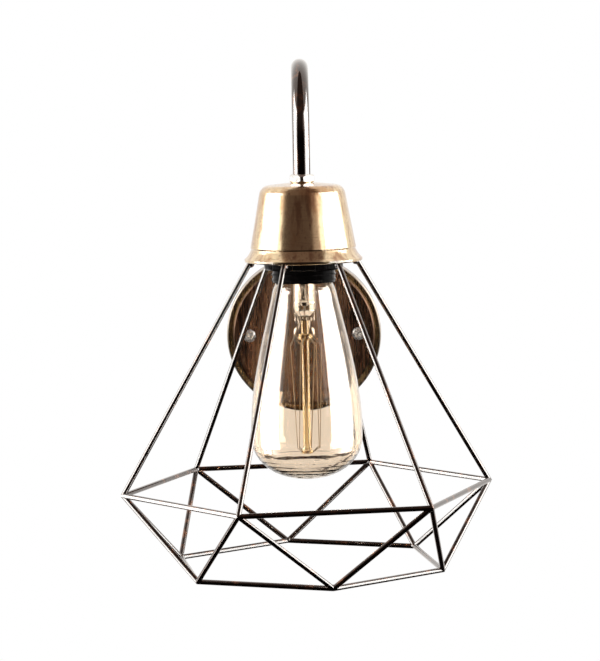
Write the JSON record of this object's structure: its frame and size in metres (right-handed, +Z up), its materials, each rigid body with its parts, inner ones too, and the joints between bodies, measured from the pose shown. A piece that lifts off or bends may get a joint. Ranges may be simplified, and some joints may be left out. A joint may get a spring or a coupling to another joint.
{
  "type": "wall light",
  "caption": "Wall light with a round plate, swan-neck arm, bell cap, open hexagonal wire cage and a screw-in filament bulb.",
  "frame": {"origin": "middle of the mounting strap's back face, on the wall, at the plate's centre", "axes": "+Z up, +Y into the wall, the lamp stands out along -Y, +X to the right seen from the room"},
  "size_m": [0.2168, 0.2223, 0.295],
  "materials": {
    "antique_plate": "brushed antique brass, dark brown",
    "antique_brass": "polished antique brass",
    "dark_bronze": "polished dark antique brass",
    "zinc_steel": "zinc plated",
    "bright_steel": "bright plated",
    "contact_brass": "bare brass",
    "white_plastic": "moulded",
    "black_bakelite": "moulded, slightly glossy",
    "porcelain": "glazed",
    "tin_contact": "soldered",
    "black_glass": "glossy vitrite",
    "bulb_shell": "pale plated brass",
    "amber_glass": "clear amber-tinted glass",
    "clear_glass": "clear glass",
    "hook_wire": "drawn wire",
    "filament_wire": "carbon-coloured wire"
  },
  "bodies": {
    "fixture": {"wall_plate": "antique_plate", "mounting_strap": "zinc_steel", "plate_screws": "bright_steel", "terminal_block": "white_plastic", "terminal_screws": "contact_brass", "earth_screw": "contact_brass", "arm_tube": "dark_bronze", "plate_front_nut": "bright_steel", "plate_rear_nut": "contact_brass", "plate_washer": "zinc_steel", "cap_nut": "bright_steel", "bell_cap": "antique_brass", "holder_dome": "black_bakelite", "holder_insert": "porcelain", "holder_screw_sleeve": "contact_brass", "holder_centre_contact": "contact_brass", "holder_contact_screws": "contact_brass", "holder_skirt": "black_bakelite", "shade_ring": "black_bakelite", "cage_disc": "antique_brass", "cage_spokes": "dark_bronze", "cage_waist_wires": "dark_bronze", "cage_struts_right": "dark_bronze", "cage_struts_left": "dark_bronze", "cage_base_wires": "dark_bronze"},
    "bulb_tip": {"bulb_tip_contact": "tin_contact"},
    "bulb": {"bulb_insulator": "black_glass", "bulb_screw_shell": "bulb_shell", "bulb_glass": "amber_glass", "bulb_stem": "clear_glass", "bulb_cane": "clear_glass", "bulb_upper_hooks": "hook_wire", "bulb_lower_hooks": "hook_wire", "bulb_lead_wires": "hook_wire", "bulb_filament": "filament_wire"}
  },
  "joints": [
    {"name": "bulb_travel", "type": "slide", "parent": "fixture", "child": "bulb_tip", "axis": [0, 0, 1], "range_m": [-0.01449, 0]},
    {"name": "bulb_turn", "type": "hinge", "parent": "bulb_tip", "child": "bulb", "pos_m": [0, -0.12, 0.054], "axis": [0, 0, 1], "range_deg": [-1440, 0]}
  ],
  "couplings": [
    {"joint": "bulb_travel", "follows": "bulb_turn", "m_per_rad": 0.00057614}
  ]
}
